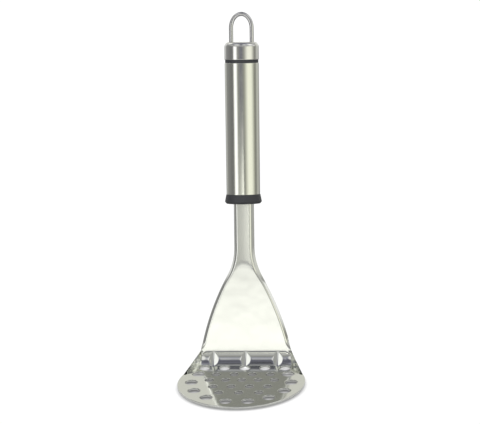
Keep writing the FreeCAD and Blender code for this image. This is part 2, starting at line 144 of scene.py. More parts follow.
def new_group(name: str, inputs: dict[str, float], outputs: Sequence[str]) -> bpy.types.NodeTree:
    """Start a shader node group with a Vector input, named number inputs and number outputs.

    Args:
        name: Name of the group.
        inputs: Number inputs and their defaults.
        outputs: Number outputs.

    Returns:
        The group, with its input and output nodes in place.
    """
    group = bpy.data.node_groups.new(name, "ShaderNodeTree")
    group.interface.new_socket(name="Vector", in_out="INPUT", socket_type="NodeSocketVector")
    for label, value in inputs.items():
        socket = group.interface.new_socket(name=label, in_out="INPUT", socket_type="NodeSocketFloat")
        socket.default_value = value
    for label in outputs:
        group.interface.new_socket(name=label, in_out="OUTPUT", socket_type="NodeSocketFloat")
    add_node(group, "NodeGroupInput", name="in")
    add_node(group, "NodeGroupOutput", name="out")
    return group


def brushed_lines_group() -> bpy.types.NodeTree:
    """Fine parallel brush lines along Z of the given vector, some deeper than others.

    Returns:
        Group with inputs Across, Along and Depth and outputs Height and Mask.
    """
    group = new_group("brushed_lines", {"Across": 2200.0, "Along": 18.0, "Depth": 1.0}, ["Height", "Mask"])
    source, sink = group.nodes["in"], group.nodes["out"]
    scale = add_node(group, "ShaderNodeCombineXYZ")
    for index, name in enumerate(("Across", "Across", "Along")):
        group.links.new(source.outputs[name], scale.inputs[index])
    stretched = add_node(group, "ShaderNodeVectorMath", operation="MULTIPLY")
    group.links.new(source.outputs["Vector"], stretched.inputs[0])
    group.links.new(scale.outputs[0], stretched.inputs[1])
    fine = add_node(group, "ShaderNodeTexNoise")
    fine.inputs["Scale"].default_value = 1.0
    fine.inputs["Detail"].default_value = 4.0
    fine.inputs["Roughness"].default_value = 0.65
    group.links.new(stretched.outputs[0], fine.inputs["Vector"])
    height = math_node(group, "MULTIPLY", fine.outputs["Fac"], source.outputs["Depth"])
    group.links.new(height, sink.inputs["Height"])
    group.links.new(fine.outputs["Fac"], sink.inputs["Mask"])
    return group


def handling_marks_group() -> bpy.types.NodeTree:
    """Soft clouds of wiping and handling with a few hairline scuffs, as a mask round 0.

    Returns:
        Group with inputs Size, Scuffs and Amount and the output Mask.
    """
    group = new_group("handling_marks", {"Size": 40.0, "Scuffs": 0.4, "Amount": 0.1}, ["Mask"])
    source, sink = group.nodes["in"], group.nodes["out"]
    cloud = add_node(group, "ShaderNodeTexNoise")
    cloud.inputs["Detail"].default_value = 3.0
    cloud.inputs["Distortion"].default_value = 0.6
    group.links.new(source.outputs["Vector"], cloud.inputs["Vector"])
    group.links.new(source.outputs["Size"], cloud.inputs["Scale"])
    lines = add_node(group, "ShaderNodeTexNoise")
    lines.inputs["Detail"].default_value = 6.0
    lines.inputs["Distortion"].default_value = 2.5
    group.links.new(source.outputs["Vector"], lines.inputs["Vector"])
    group.links.new(math_node(group, "MULTIPLY", source.outputs["Size"], 5.0), lines.inputs["Scale"])
    ridge = math_node(group, "ABSOLUTE", math_node(group, "SUBTRACT", lines.outputs["Fac"], 0.5))
    thin = math_node(group, "LESS_THAN", ridge, 0.006)
    scuffs = math_node(group, "MULTIPLY", thin, source.outputs["Scuffs"])
    total = math_node(group, "ADD", math_node(group, "SUBTRACT", cloud.outputs["Fac"], 0.5), scuffs)
    group.links.new(math_node(group, "MULTIPLY", total, source.outputs["Amount"]), sink.inputs["Mask"])
    return group


def moulded_grain_group() -> bpy.types.NodeTree:
    """Fine spark-eroded grain of a moulded plastic surface.

    Returns:
        Group with the input Size and the outputs Height and Mask.
    """
    group = new_group("moulded_grain", {"Size": 1500.0}, ["Height", "Mask"])
    source, sink = group.nodes["in"], group.nodes["out"]
    cells = add_node(group, "ShaderNodeTexVoronoi", feature="SMOOTH_F1")
    cells.inputs["Smoothness"].default_value = 0.6
    group.links.new(source.outputs["Vector"], cells.inputs["Vector"])
    group.links.new(source.outputs["Size"], cells.inputs["Scale"])
    cloud = add_node(group, "ShaderNodeTexNoise")
    group.links.new(source.outputs["Vector"], cloud.inputs["Vector"])
    group.links.new(math_node(group, "MULTIPLY", source.outputs["Size"], 0.05), cloud.inputs["Scale"])
    group.links.new(cells.outputs["Distance"], sink.inputs["Height"])
    group.links.new(cloud.outputs["Fac"], sink.inputs["Mask"])
    return group


class Effects:
    """The shared node groups, built once."""

    def __init__(self) -> None:
        """Build the three groups."""
        self.brushed = brushed_lines_group()
        self.marks = handling_marks_group()
        self.grain = moulded_grain_group()

    @staticmethod
    def place(tree: bpy.types.NodeTree, group: bpy.types.NodeTree, vector: bpy.types.NodeSocket, **values: float) -> bpy.types.Node:
        """Put one of the groups in a material.

        Args:
            tree: The material's tree.
            group: The group.
            vector: Socket with the place on the piece.
            **values: Values of the group's inputs.

        Returns:
            The group node.
        """
        node = add_node(tree, "ShaderNodeGroup", node_tree=group)
        tree.links.new(vector, node.inputs["Vector"])
        for name, value in values.items():
            node.inputs[name].default_value = value
        return node


def blank_material(name: str) -> tuple[bpy.types.Material, bpy.types.Node, bpy.types.NodeSocket]:
    """Start a material with only its shader and the object coordinates.

    Args:
        name: Name of the material.

    Returns:
        The material, its shader node and the coordinate socket.
    """
    material = bpy.data.materials.new(name)
    material.use_nodes = True
    tree = material.node_tree
    shader = next(node for node in tree.nodes if node.type == "BSDF_PRINCIPLED")
    place = add_node(tree, "ShaderNodeTexCoord")
    return material, shader, place.outputs["Object"]


def add_bump(tree: bpy.types.NodeTree, shader: bpy.types.Node, height: bpy.types.NodeSocket, strength: float, depth: float) -> None:
    """Let a height drive the shader's normal.

    Args:
        tree: The material's tree.
        shader: The shader.
        height: Height that varies over the surface.
        strength: Strength of the bump.
        depth: Distance of the bump in metres.
    """
    bump = add_node(tree, "ShaderNodeBump")
    bump.inputs["Strength"].default_value = strength
    bump.inputs["Distance"].default_value = depth
    tree.links.new(height, bump.inputs["Height"])
    tree.links.new(bump.outputs[0], shader.inputs["Normal"])


def tone_ramp(tree: bpy.types.NodeTree, factor: bpy.types.NodeSocket, low: Rgb, high: Rgb) -> bpy.types.NodeSocket:
    """Colour between two tones by a factor that varies over the surface.

    Args:
        tree: The material's tree.
        factor: Factor from 0 to 1.
        low: Colour at 0.
        high: Colour at 1.

    Returns:
        The colour output.
    """
    return Studio.blend(tree, factor, low, high)


@dataclass(frozen=True)
class SteelFinish:
    """A stainless steel surface: its tone, its gloss and its marks."""

    name: str
    tone: Rgb
    roughness: float
    across: float = 1600.0
    along: float = 60.0
    brush_depth: float = 0.0
    brush_gloss: float = 0.05
    marks_size: float = 40.0
    marks: float = 0.06
    tilt: float = 0.0
    satin_from: float = 0.0
    satin_roughness: float = 0.0
    waviness: float = 0.0

    def build(self, effects: Effects) -> bpy.types.Material:
        """Make the material.

        Args:
            effects: The shared node groups.

        Returns:
            The material.
        """
        material, shader, place = blank_material(self.name)
        tree = material.node_tree
        shader.inputs["Metallic"].default_value = 1.0
        turn = add_node(tree, "ShaderNodeMapping")
        turn.inputs["Rotation"].default_value = (math.radians(self.tilt), 0.0, 0.0)
        tree.links.new(place, turn.inputs["Vector"])
        lines = effects.place(tree, effects.brushed, turn.outputs[0], Across=self.across, Along=self.along)
        marks = effects.place(tree, effects.marks, place, Size=self.marks_size, Amount=self.marks)
        dark = tuple(channel * 0.94 for channel in self.tone)
        light = tuple(min(channel * 1.03, 1.0) for channel in self.tone)
        tree.links.new(tone_ramp(tree, lines.outputs["Mask"], dark, light), shader.inputs["Base Color"])
        swing = math_node(tree, "MULTIPLY", math_node(tree, "SUBTRACT", lines.outputs["Mask"], 0.5), self.brush_gloss)
        rough = math_node(tree, "ADD", math_node(tree, "ADD", swing, self.roughness), marks.outputs["Mask"])
        if self.satin_from > 0.0:
            rough = math_node(tree, "ADD", rough, self.satin_above(tree, place))
        tree.links.new(math_node(tree, "MAXIMUM", rough, 0.03), shader.inputs["Roughness"])
        if self.brush_depth > 0.0:
            add_bump(tree, shader, lines.outputs["Height"], self.brush_depth, 0.00004)
        if self.waviness > 0.0:
            wave = add_node(tree, "ShaderNodeTexNoise")
            wave.inputs["Scale"].default_value = 75.0
            wave.inputs["Detail"].default_value = 1.0
            tree.links.new(place, wave.inputs["Vector"])
            add_bump(tree, shader, wave.outputs["Fac"], 1.0, self.waviness)
        return material


    def satin_above(self, tree: bpy.types.NodeTree, place: bpy.types.NodeSocket) -> bpy.types.NodeSocket:
        """Extra roughness above a height, where the sheet was brushed after pressing.

        Args:
            tree: The material's tree.
            place: Socket with the place on the piece.

        Returns:
            The extra roughness.
        """
        split = add_node(tree, "ShaderNodeSeparateXYZ")
        tree.links.new(place, split.inputs[0])
        rise = add_node(tree, "ShaderNodeMapRange", interpolation_type="SMOOTHSTEP")
        rise.inputs["From Min"].default_value = self.satin_from
        rise.inputs["From Max"].default_value = self.satin_from + 0.0015
        rise.inputs["To Max"].default_value = self.satin_roughness
        tree.links.new(split.outputs["Z"], rise.inputs["Value"])
        return rise.outputs["Result"]


@dataclass(frozen=True)
class PlasticFinish:
    """A moulded plastic surface with a fine grain."""

    name: str
    tone: Rgb
    roughness: float
    grain: float = 1500.0
    bump: float = 0.25

    def build(self, effects: Effects) -> bpy.types.Material:
        """Make the material.

        Args:
            effects: The shared node groups.

        Returns:
            The material.
        """
        material, shader, place = blank_material(self.name)
        tree = material.node_tree
        grain = effects.place(tree, effects.grain, place, Size=self.grain)
        marks = effects.place(tree, effects.marks, place, Size=60.0, Amount=0.12, Scuffs=0.2)
        light = tuple(channel * 1.35 for channel in self.tone)
        tree.links.new(tone_ramp(tree, grain.outputs["Mask"], self.tone, light), shader.inputs["Base Color"])
        rough = math_node(tree, "ADD", marks.outputs["Mask"], self.roughness)
        tree.links.new(rough, shader.inputs["Roughness"])
        add_bump(tree, shader, grain.outputs["Height"], self.bump, 0.00005)
        return material


# ---------------------------------------------------------------------------- mesh tools


def finish_mesh(mesh_name: str, work: bmesh.types.BMesh, material: bpy.types.Material) -> bpy.types.Object:
    """Turn a bmesh in millimetres into a smooth object in metres.

    Args:
        mesh_name: Name of the object.
        work: The mesh; it is freed.
        material: Its material.

    Returns:
        The linked object.
    """
    bmesh.ops.remove_doubles(work, verts=work.verts, dist=0.0005)
    bmesh.ops.recalc_face_normals(work, faces=work.faces)
    bmesh.ops.scale(work, vec=(MM, MM, MM), verts=work.verts)
    for face in work.faces:
        face.smooth = True
    mesh = bpy.data.meshes.new(mesh_name)
    work.to_mesh(mesh)
    work.free()
    mesh.materials.append(material)
    item = bpy.data.objects.new(mesh_name, mesh)
    bpy.context.scene.collection.objects.link(item)
    return item


def weigh_normals(item: bpy.types.Object) -> None:
    """Let the large flat faces decide the shading."""
    modifier = item.modifiers.new("even_shading", "WEIGHTED_NORMAL")
    modifier.weight = 90
    modifier.keep_sharp = False


def lathe(outline: Outline, turns: int, place: Callable[[float, float, float], Vector]) -> bmesh.types.BMesh:
    """Turn a closed outline of (radius, height) about the handle axis.

    Args:
        outline: Corners of the section, in order.
        turns: Number of steps round.
        place: Function from x, y, height to a point of the frame.

    Returns:
        The closed mesh in millimetres.
    """
    work = bmesh.new()
    rings: list[list[bmesh.types.BMVert]] = []
    for step in range(turns):
        angle = math.tau * step / turns
        ring = [work.verts.new(place(r * math.cos(angle), r * math.sin(angle), h)) for r, h in outline]
        rings.append(ring)
    count = len(outline)
    for step in range(turns):
        here, there = rings[step], rings[(step + 1) % turns]
        for index in range(count):
            after = (index + 1) % count
            corners = [here[index], there[index], there[after], here[after]]
            if outline[index][0] < 1e-6 and outline[after][0] < 1e-6:
                continue
            work.faces.new(corners)
    return work


def rounded(outline: Outline, radii: Sequence[float], steps: int = 6) -> Outline:
    """Round the corners of a closed outline.

    Args:
        outline: Corners.
        radii: One radius for each corner, 0 to leave it sharp.
        steps: Steps on each rounded corner.

    Returns:
        The outline with arcs in place of corners.
    """
    result: Outline = []
    count = len(outline)
    for index, radius in enumerate(radii):
        corner = Vector(outline[index])
        if radius <= 0.0:
            result.append(tuple(corner))
            continue
        before = (Vector(outline[index - 1]) - corner).normalized()
        after = (Vector(outline[(index + 1) % count]) - corner).normalized()
        half = before.angle(after) / 2.0
        reach = radius / math.tan(half)
        centre = corner + (before + after).normalized() * (radius / math.sin(half))
        start = corner + before * reach - centre
        sweep = start.angle_signed(corner + after * reach - centre)
        for step in range(steps + 1):
            turned = Matrix.Rotation(-sweep * step / steps, 2) @ start
            result.append(tuple(centre + turned))
    return result


# ---------------------------------------------------------------------------- blade


@dataclass
class MasherBlade:
    """The pressed sheet: plate, bend, darts, wedge, rims, neck and tang."""

    thickness: float = 1.5
    plate_radius: float = 46.3
    shoulder: float = 19.0
    bend_start: float = 29.6
    bend_radius: float = 10.4
    wedge_lean: float = 9.5
    neck_lean: float = 16.0
    wedge_length: float = 65.7
    foot_half_width: float = 33.3
    side_radius: float = 193.0
    neck_half_width: float = 7.5
    neck_fillet: float = 42.0
    neck_fillet_top: float = 10.3
    neck_length: float = 43.1
    tang_length: float = 45.0
    neck_depth: float = 6.5
    rim_depth: float = 3.6
    neck_crown: float = 0.3
    rim_angle: float = 52.0
    neck_angle: float = 74.0
    rim_roll: float = 1.8
    neck_roll: float = 2.4
    edge_round: float = 0.35
    dart_pitch: float = 23.6
    dart_height: float = 2.0
    dart_width: float = 6.4
    end_roll_width: float = 5.5
    end_roll: float = 1.1
    ring_radius: float = 36.3
    ring_hole: float = 4.5
    ring_step: float = 25.714
    bend_hole: float = 4.0
    bend_row: float = 27.1
    bend_hole_pitch: float = 14.8
    inner_hole: float = 3.25
    inner_rows: tuple[tuple[float, float, int], ...] = ((15.2, 13.2, 4), (4.4, 11.85, 5), (-7.9, 13.2, 4), (-19.3, 14.6, 3))
    finish: SteelFinish = field(default=None)

    def __post_init__(self) -> None:
        """Work out the fixed points of the side profile."""
        self.turn = math.radians(90.0 - self.wedge_lean)
        self.middle_radius = self.bend_radius + self.thickness / 2.0
        self.bend_end = self.bend_start + self.middle_radius * self.turn
        self.axis_z = self.thickness + self.bend_radius
        lean = math.radians(self.wedge_lean)
        self.up = Vector((0.0, math.sin(lean), math.cos(lean)))
        self.back = Vector((0.0, math.cos(lean), -math.sin(lean)))
        self.foot = Vector((0.0, self.bend_start + self.bend_radius * math.cos(lean), self.axis_z - self.bend_radius * math.sin(lean)))
        self.kink = math.radians(self.neck_lean - self.wedge_lean)
        self.top = self.wedge_length + (self.neck_length + self.tang_length) * math.cos(self.kink)
        self.side_centre, self.side_meets = self.side_arcs()

    # outline of the upright part ------------------------------------------------

    def side_arcs(self) -> tuple[Vector, Vector]:
        """Centre of the bulging side arc and the point where the neck fillet takes over.

        Returns:
            The centre and the point, as (half width, height).
        """
        foot = Vector((self.foot_half_width, 0.0))
        hollow = Vector((self.neck_half_width + self.neck_fillet, self.wedge_length + self.neck_fillet_top))
        apart = hollow - foot
        reach = self.side_radius + self.neck_fillet
        along = (self.side_radius ** 2 - reach ** 2 + apart.length_squared) / (2.0 * apart.length)
        across = math.sqrt(self.side_radius ** 2 - along ** 2)
        unit = apart.normalized()
        centre = foot + unit * along + Vector((-unit.y, unit.x)) * across
        return centre, centre + (hollow - centre) * (self.side_radius / reach)

    def upright_half_width(self, height: float) -> float:
        """Half width of wedge and neck at a height above the bend."""
        if height <= self.side_meets.y:
            return self.side_centre.x + math.sqrt(self.side_radius ** 2 - (height - self.side_centre.y) ** 2)
        top = self.wedge_length + self.neck_fillet_top
        if height >= top:
            return self.neck_half_width
        return self.neck_half_width + self.neck_fillet - math.sqrt(self.neck_fillet ** 2 - (height - top) ** 2)

    def sheet_half_width(self, along: float) -> float:
        """Half width of plate and bend behind the shoulders, by distance along the sheet."""
        shoulder = math.radians(self.shoulder)
        start = self.plate_radius * math.cos(shoulder)
        straight = start - (along - self.plate_radius * math.sin(shoulder)) * math.tan(shoulder)
        if along <= self.bend_start:
            return straight
        length = self.bend_end - self.bend_start
        share = (along - self.bend_start) / length
        low = start - (self.bend_start - self.plate_radius * math.sin(shoulder)) * math.tan(shoulder)
        high_slope = self.side_centre.y / (self.foot_half_width - self.side_centre.x) * length
        low_slope = -math.tan(shoulder) * length
        square, cube = share ** 2, share ** 3
        return (
            (2.0 * cube - 3.0 * square + 1.0) * low
            + (cube - 2.0 * square + share) * low_slope
            + (3.0 * square - 2.0 * cube) * self.foot_half_width
            + (cube - square) * high_slope
        )

    # surfaces -------------------------------------------------------------------

    def dart_rise(self, x: float, angle: float) -> float:
        """Rise of the nearest dart over the bend at an angle from the plate."""
        nearest = min(abs(x), abs(x - self.dart_pitch), abs(x + self.dart_pitch))
        lift = angle - self.turn / 2.0
        crest = self.bend_radius - (self.bend_radius - self.dart_height) / math.cos(lift)
        slope = self.dart_height / (self.dart_width / 2.0)
        rounded_offset = math.sqrt(nearest * nearest + 0.02) - 0.05
        return soft_max(crest - rounded_offset * slope, 0.0, 0.5)

    def end_fall(self, x: float, angle: float) -> float:
        """How far the bend rolls back near the sides of the sheet, where the rims run into it."""
        edge = self.sheet_half_width(self.bend_start + angle * self.middle_radius)
        reach = min(max(abs(x) - edge + self.end_roll_width, 0.0) / self.end_roll_width, 1.0)
        window = smooth_step(0.15, 0.6, angle) * smooth_step(self.turn, self.turn - 0.35, angle)
        return self.end_roll * reach * reach * window

    def sheet_middle(self, x: float, along: float) -> Vector:
        """Middle surface of plate and bend."""
        if along <= self.bend_start:
            return Vector((x, along, self.thickness / 2.0))
        angle = (along - self.bend_start) / self.middle_radius
        radius = self.middle_radius - self.dart_rise(x, angle) + self.end_fall(x, angle)
        return Vector((x, self.bend_start + radius * math.sin(angle), self.axis_z - radius * math.cos(angle)))

    def sheet_frame(self, x: float, along: float) -> tuple[Vector, Vector, Vector, Vector]:
        """Point, normal and the two surface directions of plate and bend."""
        step = 0.02
        point = self.sheet_middle(x, along)
        across = (self.sheet_middle(x + step, along) - self.sheet_middle(x - step, along)).normalized()
        forward = (self.sheet_middle(x, along + step) - self.sheet_middle(x, along - step)).normalized()
        return point, across.cross(forward).normalized(), across, forward

    def face_depth(self, x: float, height: float) -> float:
        """How far the front face lies behind the plane of the wedge: nothing below the crease."""
        fall = (height - self.wedge_length) * math.tan(self.kink)
        flat = self.neck_half_width - 2.0
        crown = self.neck_crown * min((x / flat) ** 2, 2.0)
        return soft_max(0.0, fall + crown, 0.25)

    def upright_section(self, height: float) -> list[tuple[Vector, Vector]]:
        """Half section of the front surface at a height, from the middle out, as (point, outward direction).

        Args:
            height: Height above the top of the bend.

        Returns:
            Points of (x, depth) with the direction in which the section runs there.
        """
        width = self.upright_half_width(height)
        fade = smooth_step(0.5, 9.0, height)
        swell = smooth_step(self.wedge_length - 18.0, self.wedge_length, height)
        full = math.radians(self.rim_angle * (1.0 - swell) + self.neck_angle * swell)
        angle = full * fade
        roll = self.rim_roll * (1.0 - swell) + self.neck_roll * swell
        arc = roll * full
        depth = self.rim_depth * (1.0 - swell) + self.neck_depth * swell
        wall = (depth - roll * (1.0 - math.cos(full)) - self.thickness * math.cos(full)) / math.sin(full)
        flange = wall * fade + 0.4 * (1.0 - fade)
        curve = angle / arc if angle > 1e-6 else 0.0
        reach = math.sin(angle) / curve if curve else arc
        start = width - reach - flange * math.cos(angle)
        points: list[tuple[Vector, Vector]] = []
        for index in range(self.flat_steps):
            x = start * index / self.flat_steps
            points.append((Vector((x, 0.0)), Vector((1.0, 0.0))))
        for index in range(self.arc_steps + 1):
            turned = angle * index / self.arc_steps
            length = arc * index / self.arc_steps
            x = start + (math.sin(turned) / curve if curve else length)
            fall = (1.0 - math.cos(turned)) / curve if curve else 0.0
            points.append((Vector((x, fall)), Vector((math.cos(turned), math.sin(turned)))))
        last = points[-1][0]
        away = Vector((math.cos(angle), math.sin(angle)))
        for index in range(1, self.flange_steps + 1):
            points.append((last + away * (flange * index / self.flange_steps), away))
        return points

    flat_steps = 16
    arc_steps = 8
    flange_steps = 3

    def upright_front(self, height: float) -> list[Vector]:
        """Front surface of the upright part across the whole width at a height."""
        half = self.upright_section(height)
        flat_end = half[self.flat_steps][0].x
        row: list[Vector] = []
        for mirror in (-1.0, 1.0):
            side = []
            for point, away in half:
                extra = self.face_depth(min(point.x, flat_end), height)
                side.append(self.foot + self.up * height + self.back * (point.y + extra) + Vector((point.x * mirror, 0.0, 0.0)))
            row += side[:0:-1] if mirror < 0.0 else side
        return row

    def upright_heights(self) -> list[float]:
        """Heights of the rows of the upright part, closer together where it curves."""
        heights = [0.0]
        while heights[-1] < self.top:
            here = heights[-1]
            near_crease = abs(here - self.wedge_length - 1.0) < 4.5
            step = 0.4 if near_crease else (1.0 if here < 18.0 else 1.5)
            heights.append(min(here + step, self.top))
        return heights

    # mesh -----------------------------------------------------------------------

    def holes(self) -> list[tuple[float, float, float]]:
        """Centre and radius of every hole.

        Returns:
            Tuples of x, y and radius.
        """
        found = []
        for count in range(5):
            angle = math.radians(self.ring_step * (count + 0.5) - 90.0)
            for side in (-1, 1):
                found.append((side * self.ring_radius * math.cos(angle), self.ring_radius * math.sin(angle), self.ring_hole))
        for count in range(-2, 3):
            found.append((count * self.bend_hole_pitch, self.bend_row, self.bend_hole))
        for y, pitch, number in self.inner_rows:
            for count in range(number):
                found.append(((count - (number - 1) / 2.0) * pitch, y, self.inner_hole))
        return found

    def sheet_edges(self) -> list[list[tuple[Vector, Vector]]]:
        """Edges of plate and bend in sheet coordinates: the open outline first, then the holes.

        Returns:
            Lists of (point, outward direction).
        """
        shoulder = math.radians(self.shoulder)
        outline: list[tuple[Vector, Vector]] = []
        steps = 110
        for index in range(steps + 1):
            angle = -math.pi - shoulder + (math.pi + 2.0 * shoulder) * index / steps
            away = Vector((math.cos(angle), math.sin(angle)))
            outline.append((away * self.plate_radius, away))
        start = self.plate_radius * math.sin(shoulder)
        rows = 34
        straight = Vector((math.cos(shoulder), math.sin(shoulder)))
        right = []
        for index in range(1, rows + 1):
            along = start + (self.bend_end - start) * index / rows
            share = smooth_step(self.bend_start, self.bend_end, along)
            away = (straight * (1.0 - share) + Vector((1.0, 0.0)) * share).normalized()
            right.append((Vector((self.sheet_half_width(along), along)), away))
        left = [(Vector((-p.x, p.y)), Vector((-n.x, n.y))) for p, n in reversed(right)]
        edges = [left + outline + right]
        for x, y, radius in self.holes():
            count = 56
            ring = []
            for index in range(count):
                angle = math.tau * index / count
                spoke = Vector((math.cos(angle), math.sin(angle)))
                ring.append((Vector((x, y)) + spoke * radius, -spoke))
            edges.append(ring)
        return edges

    def sheet_vertex(self, spot: Vector, depth: float) -> Vector:
        """Point of plate or bend at sheet coordinates and a distance to the front of the middle surface."""
        point, normal, _, _ = self.sheet_frame(spot.x, spot.y)
        return point + normal * depth

    def edge_profile(self) -> list[tuple[float, float]]:
        """Rounded edge of the sheet as (distance past the inset line, height over the middle)."""
        half, r = self.thickness / 2.0, self.edge_round
        upper = [(r * math.sin(a), half - r + r * math.cos(a)) for a in (math.radians(18 * k) for k in range(6))]
        return upper + [(out, -high) for out, high in reversed(upper)]

    def build_sheet(self, work: bmesh.types.BMesh) -> None:
        """Add plate and bend to the mesh."""
        edges = self.sheet_edges()
        r = self.edge_round
        spots: list[Vector] = []
        links: list[tuple[int, int]] = []
        for number, edge in enumerate(edges):
            first = len(spots)
            spots += [point - away * r for point, away in edge]
            links += [(first + k, first + k + 1) for k in range(len(edge) - 1)]
            if number:
                links.append((len(spots) - 1, first))
        top_row = [Vector((p.x, self.bend_end)) for p in self.upright_front(0.0)]
        right_end, left_end = len(edges[0]) - 1, 0
        first = len(spots)
        spots += top_row[-2:0:-1]
        chain = [right_end] + list(range(first, len(spots))) + [left_end]
        links += list(zip(chain, chain[1:]))
        rings = [spots[index].copy() for index in range(first)]
        fence = [rings[k] for k in range(len(edges[0]))]
        holes = [(x, y, radius + r) for x, y, radius in self.holes()]
        spots += self.filling(fence, holes)
        flat, _, faces, origin, _, _ = delaunay_2d_cdt(spots, links, [], 0, 1e-5)
        for side in Side:
            made: dict[int, bmesh.types.BMVert] = {}
            for face in faces:
                middle = sum((flat[k] for k in face), Vector((0.0, 0.0))) / len(face)
                if not self.in_sheet(middle, holes):
                    continue
                for k in face:
                    if k not in made:
                        made[k] = work.verts.new(self.sheet_vertex(flat[k], side.value * self.thickness / 2.0))
                work.faces.new([made[k] for k in face])
        profile = self.edge_profile()
        for number, edge in enumerate(edges):
            bands = []
            for point, away in edge:
                inset = point - away * r
                centre, normal, across, forward = self.sheet_frame(inset.x, inset.y)
                outward = across * away.x + forward * away.y
                bands.append([work.verts.new(centre + outward * out + normal * high) for out, high in profile])
            pairs = list(zip(bands, bands[1:]))
            if number:
                pairs.append((bands[-1], bands[0]))
            for here, there in pairs:
                for k in range(len(profile) - 1):
                    work.faces.new([here[k], there[k], there[k + 1], here[k + 1]])

    def in_sheet(self, spot: Vector, holes: Iterable[tuple[float, float, float]]) -> bool:
        """Whether a spot lies on the sheet, inside its outline and outside its holes."""
        if spot.y > self.plate_radius * math.sin(math.radians(self.shoulder)):
            inside = abs(spot.x) < self.sheet_half_width(spot.y) and spot.y < self.bend_end
        else:
            inside = spot.length < self.plate_radius
        return inside and all((spot.x - x) ** 2 + (spot.y - y) ** 2 > (radius * 0.995) ** 2 for x, y, radius in holes)

    def filling(self, fence: Sequence[Vector], holes: Sequence[tuple[float, float, float]]) -> list[Vector]:
        """Inner points of the sheet: wide apart on the plate, close together in the bend.

        Args:
            fence: Points of the inset outline.
            holes: Holes with their inset radius.

        Returns:
            Points that keep clear of the edges.
        """
        spots: list[Vector] = []
        rows: list[tuple[float, float]] = []
        along = -self.plate_radius + 2.0
        while along < self.bend_end - 0.3:
            in_bend = along > self.bend_start - 1.0
            rows.append((along, 0.75 if in_bend else 2.4))
            along += 0.6 if in_bend else 2.4
        even = [index * 2.4 for index in range(-19, 20)]
        near_darts = [
            dart + offset * side
            for dart in (-self.dart_pitch, 0.0, self.dart_pitch)
            for offset in (0.0, 0.18, 0.45, 0.9, 1.5, 2.1, 2.6, 3.0, 3.4, 3.9)
            for side in (-1.0, 1.0)
        ]
        between = [index * 0.8 for index in range(-50, 51)]
        between = [x for x in between if min(abs(x), abs(abs(x) - self.dart_pitch)) > 4.4]
        for along, step in rows:
            for x in even if step > 1.0 else sorted({round(x, 3) for x in near_darts + between}):
                spot = Vector((x, along))
                if not self.in_sheet(spot, [(hx, hy, radius + 0.35) for hx, hy, radius in holes]):
                    continue
                if min((spot - post).length_squared for post in fence) < 0.3:
                    continue
                spots.append(spot)
        return spots

    def build_upright(self, work: bmesh.types.BMesh) -> None:
        """Add wedge, neck and tang to the mesh."""
        heights = self.upright_heights()
        rows = [self.upright_front(height) for height in heights]
        count, width = len(rows), len(rows[0])
        profile = self.edge_profile()
        sections = []
        for i, row in enumerate(rows):
            below, above = rows[max(i - 1, 0)], rows[min(i + 1, count - 1)]
            normals = []
            for j in range(width):
                across = row[min(j + 1, width - 1)] - row[max(j - 1, 0)]
                rising = above[j] - below[j]
                normals.append(across.cross(rising).normalized())
            if i == 0:
                normals = [-self.back for _ in normals]
            half = self.thickness / 2.0
            front = list(row)
            behind = [point - normal * self.thickness for point, normal in zip(row, normals)]
            ring = []
            for end, inner in ((width - 1, width - 2), (0, 1)):
                outward = (row[end] - row[inner]).normalized()
                outward = (outward - normals[end] * outward.dot(normals[end])).normalized()
                middle = row[end] - normals[end] * half - outward * self.edge_round
                band = [middle + outward * out + normals[end] * high for out, high in profile]
                ring.append(band)
            section = front[1:-1] + ring[0] + behind[-2:0:-1] + ring[1][::-1]
            sections.append([work.verts.new(point) for point in section])
        for here, there in zip(sections, sections[1:]):
            for k in range(len(here)):
                after = (k + 1) % len(here)
                work.faces.new([here[k], here[after], there[after], there[k]])
        work.faces.new(sections[-1])

    def build(self, material: bpy.types.Material) -> bpy.types.Object:
        """Make the whole blade.

        Args:
            material: Its steel.

        Returns:
            The object, riding on the frame in place of the plain blade.
        """
        work = bmesh.new()
        self.build_sheet(work)
        self.build_upright(work)
        item = finish_mesh("pressed_blade", work, material)
        weigh_normals(item)
        return attach(item, "masher_blade")


def attach(item: bpy.types.Object, node: str) -> bpy.types.Object:
    """Let a piece ride on the frame in place of its plain node.

    Args:
        item: The piece.
        node: The node that it stands for.

    Returns:
        The piece.
    """
    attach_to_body(item, "root")
    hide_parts(node)
    log.info("built %s for %s", item.name, node)
    return item


# ---------------------------------------------------------------------------- handle


